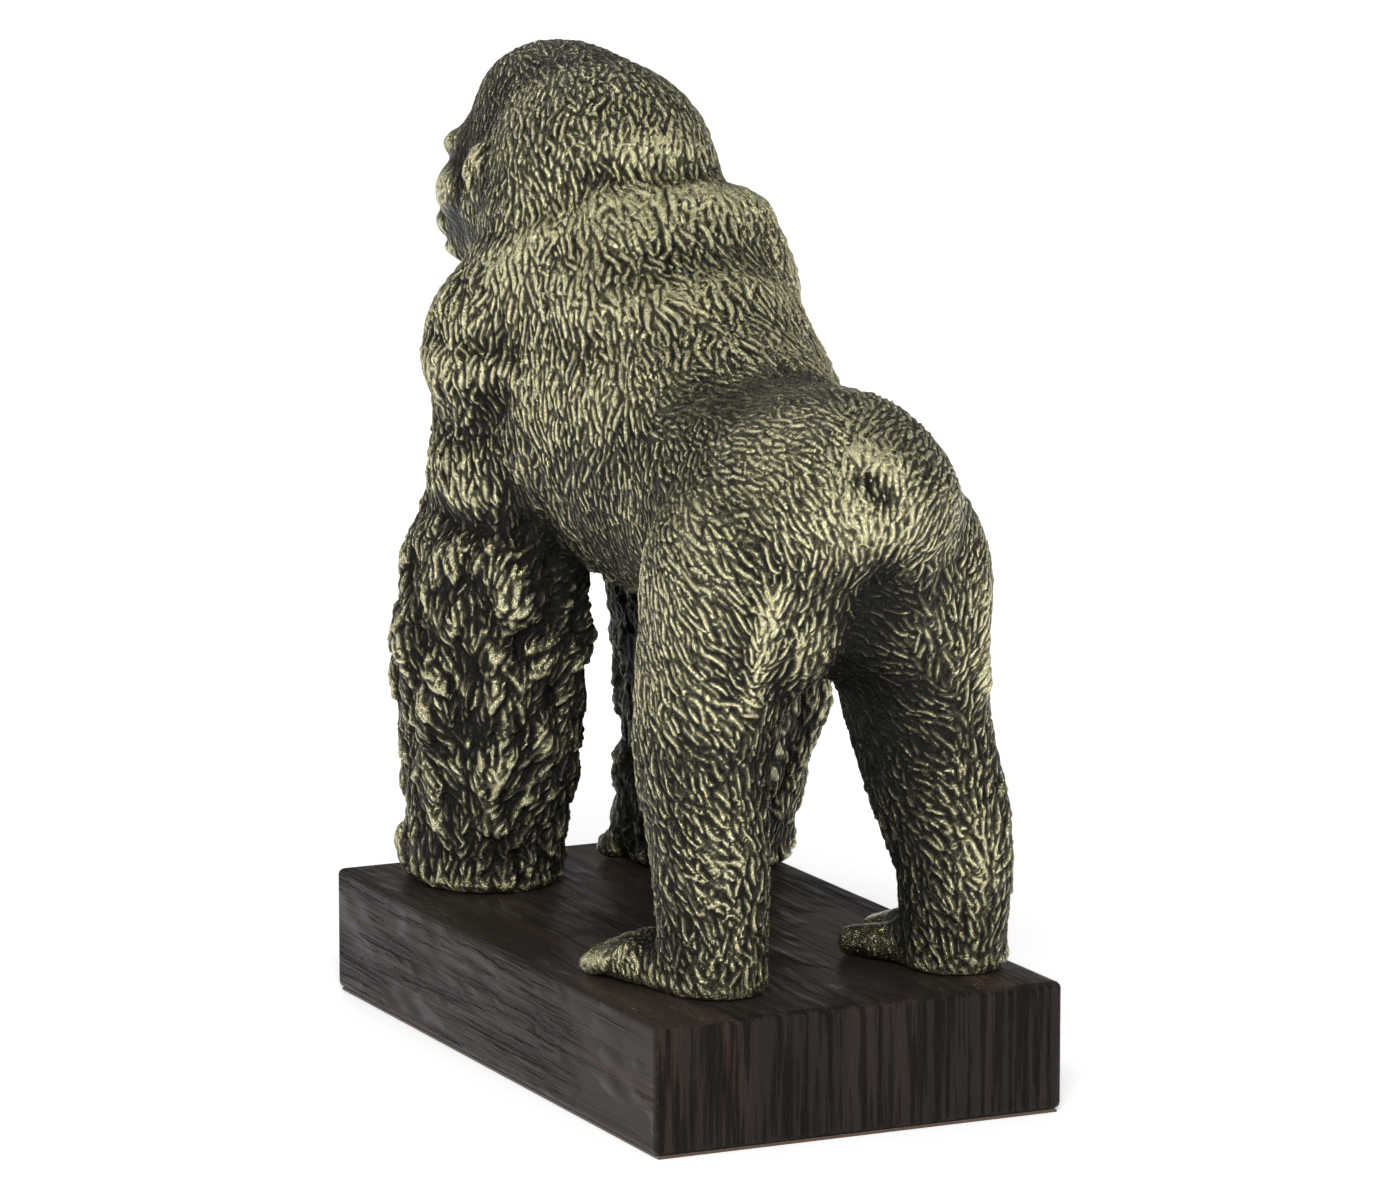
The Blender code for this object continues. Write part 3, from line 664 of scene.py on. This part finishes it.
class Nodes:
    """A material's or a world's node tree, with short calls that add a node and link it."""

    def __init__(self, owner):
        owner.use_nodes = True
        self.tree = owner.node_tree
        self.made = self.tree.nodes

    def add(self, kind, settings=None, **inputs):
        node = self.made.new(kind)
        for key, value in (settings or {}).items():
            setattr(node, key, value)
        for key, value in inputs.items():
            self.feed(node, key.replace("_", " "), value)
        return node

    def feed(self, node, key, value):
        socket = node.inputs[int(key)] if key.isdigit() else node.inputs[key]
        if isinstance(value, bpy.types.NodeSocket):
            self.tree.links.new(value, socket)
        else:
            socket.default_value = value

    def maths(self, operation, *values, clamp=False):
        node = self.made.new("ShaderNodeMath")
        node.operation = operation
        node.use_clamp = clamp
        for k, value in enumerate(values):
            self.feed(node, str(k), value)
        return node.outputs[0]

    def ramp(self, factor, *stops):
        """Colours along a factor. A stop is a place from 0 to 1 and a grey level or a colour."""
        node = self.made.new("ShaderNodeValToRGB")
        band = node.color_ramp.elements
        while len(band) < len(stops):
            band.new(0.5)
        for element, (place, colour) in zip(band, stops):
            element.position = place
            element.color = (*colour, 1) if isinstance(colour, tuple) else (colour, colour, colour, 1)
        self.feed(node, "Fac", factor)
        return node.outputs["Color"]

    def noise(self, scale, detail=2.0, stretch=(1, 1, 1), roughness=0.5, where=None):
        """Noise in the row frame, scale in features a metre, drawn out along an axis by a stretch under 1."""
        where = where or self.add("ShaderNodeTexCoord").outputs["Object"]
        drawn = self.add("ShaderNodeMapping", Vector=where, Scale=stretch).outputs[0]
        return self.add(
            "ShaderNodeTexNoise", Vector=drawn, Scale=scale, Detail=detail, Roughness=roughness
        ).outputs["Fac"]

    def mix(self, factor, low, high, blend="MIX"):
        node = self.made.new("ShaderNodeMix")
        node.data_type = "RGBA"
        node.blend_type = blend
        self.feed(node, "0", factor)
        for k, colour in ((6, low), (7, high)):
            self.feed(node, str(k), (*colour, 1) if isinstance(colour, tuple) else colour)
        return node.outputs[2]


def new_material(name):
    made = bpy.data.materials.new(name)
    nodes = Nodes(made)
    return made, nodes, nodes.made["Principled BSDF"]


def antique_brass():
    """Brass with a dark patina, polished off on crests, with painted shade where the figure hides the room,
    painted light and shade by area, painted highlight bands on rolls, and strands along each tuft.
    """
    made, nodes, shader = new_material("antique_brass")
    crest, border, rubbed_and_lit = [
        nodes.add("ShaderNodeAttribute", {"attribute_name": name}).outputs["Fac"]
        for name in ("crest", "border", "rubbed_and_lit")
    ]
    strand = nodes.add("ShaderNodeAttribute", {"attribute_name": "strand"}).outputs["Vector"]
    across = nodes.maths("ABSOLUTE", nodes.add("ShaderNodeSeparateXYZ", Vector=strand).outputs["X"])
    hair = nodes.noise(1.0, 3, (1.7, 0.4, 1), 0.65, where=strand)
    dull = nodes.noise(1.0, 1, (0.05, 0.03, 1), where=strand)
    fleck = nodes.noise(480, 3, roughness=0.8)
    cloud = nodes.noise(45, 2)
    middle = nodes.ramp(across, (0.1, 1.0), (0.75, 0.0))
    inside = nodes.ramp(border, (0.4, 1.0), (0.7, 0.0))
    line = nodes.maths("MULTIPLY", middle, inside)
    wear_and_painted_light = nodes.maths("MULTIPLY_ADD", line, 0.08, crest)
    # The patina's brightness also carries painted shade where the figure hides the room, painted light and
    # shade by area, and painted highlight bands on rolls
    for pattern, level, strength in (
        (rubbed_and_lit, 1.6, 0.45),
        (hair, 0.5, 0.5),
        (dull, 0.5, 0.45),
        (fleck, 0.5, 1.0),
        (cloud, 0.5, 0.4),
    ):
        wear_and_painted_light = nodes.maths("MULTIPLY_ADD", nodes.maths("SUBTRACT", pattern, level), strength, wear_and_painted_light)
    colour = nodes.ramp(
        wear_and_painted_light,
        (0.22, (0.020, 0.019, 0.016)),
        (0.42, (0.059, 0.055, 0.042)),
        (0.64, (0.150, 0.138, 0.082)),
        (0.92, (0.72, 0.67, 0.43)),
    )
    nodes.feed(shader, "Base Color", colour)
    nodes.feed(shader, "Metallic", nodes.ramp(wear_and_painted_light, (0.2, 0.90), (0.5, 1.0)))
    nodes.feed(shader, "Roughness", nodes.ramp(wear_and_painted_light, (0.25, 0.33), (0.7, 0.18)))
    fine = nodes.add("ShaderNodeBump", Strength=1.0, Distance=0.0018, Height=fleck).outputs[0]
    bump = nodes.add("ShaderNodeBump", Strength=0.6, Distance=0.0006, Height=hair, Normal=fine).outputs[0]
    nodes.feed(shader, "Normal", bump)
    return made


def dark_wood():
    """Near-black wood with patches of brushed grain along it, and ribs over the whole of its end faces."""
    made, nodes, shader = new_material("dark_wood")
    where = nodes.add("ShaderNodeTexCoord").outputs["Object"]
    normal = nodes.add("ShaderNodeNewGeometry").outputs["Normal"]
    facing = nodes.add("ShaderNodeSeparateXYZ", Vector=normal).outputs["Y"]
    end_face = nodes.ramp(nodes.maths("ABSOLUTE", facing), (0.6, 0.0), (0.8, 1.0))
    waved = nodes.noise(28, 2, (1, 0.5, 1), where=where)
    shift = nodes.add("ShaderNodeCombineXYZ", X=nodes.maths("MULTIPLY", waved, 0.012)).outputs[0]
    shifted = nodes.add("ShaderNodeVectorMath", {"operation": "ADD"}, **{"0": where, "1": shift}).outputs[0]
    along = nodes.noise(230, 4, (1, 0.045, 1), 0.6, where=shifted)
    ribs = nodes.noise(300, 5, (1, 1, 0.04), 0.65, where=where)
    grain = nodes.mix(end_face, along, ribs)
    patches = nodes.noise(20, 3, (1, 0.4, 1), 0.6, where=where)
    open_grain = nodes.ramp(patches, (0.46, 0.08), (0.60, 0.75))
    depth = nodes.mix(end_face, open_grain, (1.0, 1.0, 1.0))
    long_streaks = nodes.noise(60, 3, (1, 0.05, 1), where=where)
    end_streaks = nodes.noise(70, 4, (1, 1, 0.10), where=where)
    streak = nodes.mix(end_face, long_streaks, end_streaks)
    cut = nodes.ramp(grain, (0.38, 0.0), (0.50, 1.0))
    colour = nodes.ramp(
        streak,
        (0.42, (0.021, 0.0155, 0.0128)),
        (0.58, (0.027, 0.0195, 0.016)),
        (0.74, (0.046, 0.026, 0.018)),
    )
    dark = nodes.maths("MULTIPLY", nodes.maths("SUBTRACT", 1.0, cut), depth)
    nodes.feed(shader, "Base Color", nodes.mix(dark, colour, (0.010, 0.0085, 0.0075)))
    nodes.feed(shader, "Roughness", nodes.ramp(grain, (0.3, 0.42), (0.7, 0.22)))
    shader.inputs["Specular IOR Level"].default_value = 0.07
    relief = nodes.maths("MULTIPLY", nodes.maths("MULTIPLY_ADD", grain, 2.0, cut), depth)
    bump = nodes.add("ShaderNodeBump", Strength=1.0, Distance=0.0012, Height=relief)
    nodes.feed(shader, "Normal", bump.outputs[0])
    return made


def brown_felt():
    made, nodes, shader = new_material("brown_felt")
    fibre = nodes.noise(1500, 4, (1, 1, 1), 0.7)
    colour = nodes.ramp(fibre, (0.3, (0.05, 0.026, 0.014)), (0.7, (0.12, 0.066, 0.036)))
    nodes.feed(shader, "Base Color", colour)
    shader.inputs["Roughness"].default_value = 0.95
    shader.inputs["Sheen Weight"].default_value = 0.4
    bump = nodes.add("ShaderNodeBump", Strength=0.6, Distance=0.0004, Height=fibre)
    nodes.feed(shader, "Normal", bump.outputs[0])
    return made


def zinc_plated_steel():
    made, nodes, shader = new_material("zinc_plated_steel")
    spangle = nodes.noise(700, 2)
    colour = nodes.ramp(spangle, (0.3, (0.48, 0.49, 0.5)), (0.7, (0.7, 0.7, 0.68)))
    nodes.feed(shader, "Base Color", colour)
    nodes.feed(shader, "Roughness", nodes.ramp(spangle, (0.3, 0.42), (0.7, 0.26)))
    shader.inputs["Metallic"].default_value = 1.0
    return made


def wear(node, finish):
    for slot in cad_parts[node].material_slots:
        slot.material = finish


def lamp(name, power, size, place):
    light = bpy.data.lights.new(name, "AREA")
    light.shape = "RECTANGLE"
    light.size, light.size_y = size
    light.energy = power
    made = bpy.data.objects.new(name, light)
    made.location = place
    made.rotation_euler = (Vector(AIM) - Vector(place)).to_track_quat("-Z", "Y").to_euler()
    bpy.context.scene.collection.objects.link(made)


def studio():
    """A pale floor in a white room, which metal sees as darker towards its ceiling, and the soft lamps."""
    bpy.ops.mesh.primitive_plane_add(size=24)
    floor = bpy.context.object
    floor.name = "studio_floor"
    made, nodes, shader = new_material("studio_floor")
    nodes.feed(shader, "Base Color", nodes.ramp(nodes.noise(3, 2), (0.3, 0.90), (0.7, 0.92)))
    shader.inputs["Roughness"].default_value = 0.6
    path = nodes.add("ShaderNodeLightPath")
    seen = nodes.maths("MAXIMUM", path.outputs["Is Camera Ray"], path.outputs["Is Glossy Ray"])
    where = nodes.add("ShaderNodeTexCoord").outputs["Object"]
    far = nodes.add("ShaderNodeVectorMath", {"operation": "LENGTH"}, **{"0": where}).outputs["Value"]
    glow = nodes.add("ShaderNodeMapRange", Value=far, **FLOOR_GLOW).outputs[0]
    shader.inputs["Emission Color"].default_value = (1, 1, 1, 1)
    nodes.feed(shader, "Emission Strength", nodes.maths("MULTIPLY", seen, glow))
    floor.data.materials.append(made)

    world = bpy.data.worlds.new("studio")
    bpy.context.scene.world = world
    nodes = Nodes(world)
    background = nodes.made["Background"]
    path = nodes.add("ShaderNodeLightPath")
    seen = nodes.maths("MAXIMUM", path.outputs["Is Camera Ray"], path.outputs["Is Transmission Ray"])
    way = nodes.add("ShaderNodeTexCoord").outputs["Generated"]
    height = nodes.add("ShaderNodeSeparateXYZ", Vector=way).outputs["Z"]
    mirrored = nodes.ramp(height, (0.0, 0.55), (0.1, 0.28), (0.4, 0.14), (0.8, 0.05))
    lit = nodes.mix(path.outputs["Is Glossy Ray"], (0.5, 0.5, 0.5), mirrored)
    nodes.feed(background, "Color", nodes.mix(seen, lit, (1.0, 1.0, 1.0)))

    for name, (power, size, place) in LAMPS.items():
        lamp(name, power, size, place)


def camera():
    lens = bpy.data.cameras.new("camera")
    lens.lens = LENS
    lens.sensor_width = SENSOR
    lens.clip_end = 50
    made = bpy.data.objects.new("camera", lens)
    made.location = CAMERA_PLACE
    made.rotation_euler = (math.pi / 2 - math.radians(CAMERA_TIP), 0, math.radians(CAMERA_TURN))
    bpy.context.scene.collection.objects.link(made)
    bpy.context.scene.camera = made


def main():
    figure(antique_brass())
    wear("wood_plinth", dark_wood())
    wear("base_felt", brown_felt())
    steel = zinc_plated_steel()
    for k in range(1, 5):
        wear(f"screw_{k}", steel)
        wear(f"washer_{k}", steel)
    studio()
    camera()
    bpy.context.scene.view_settings.view_transform = "Standard"


main()
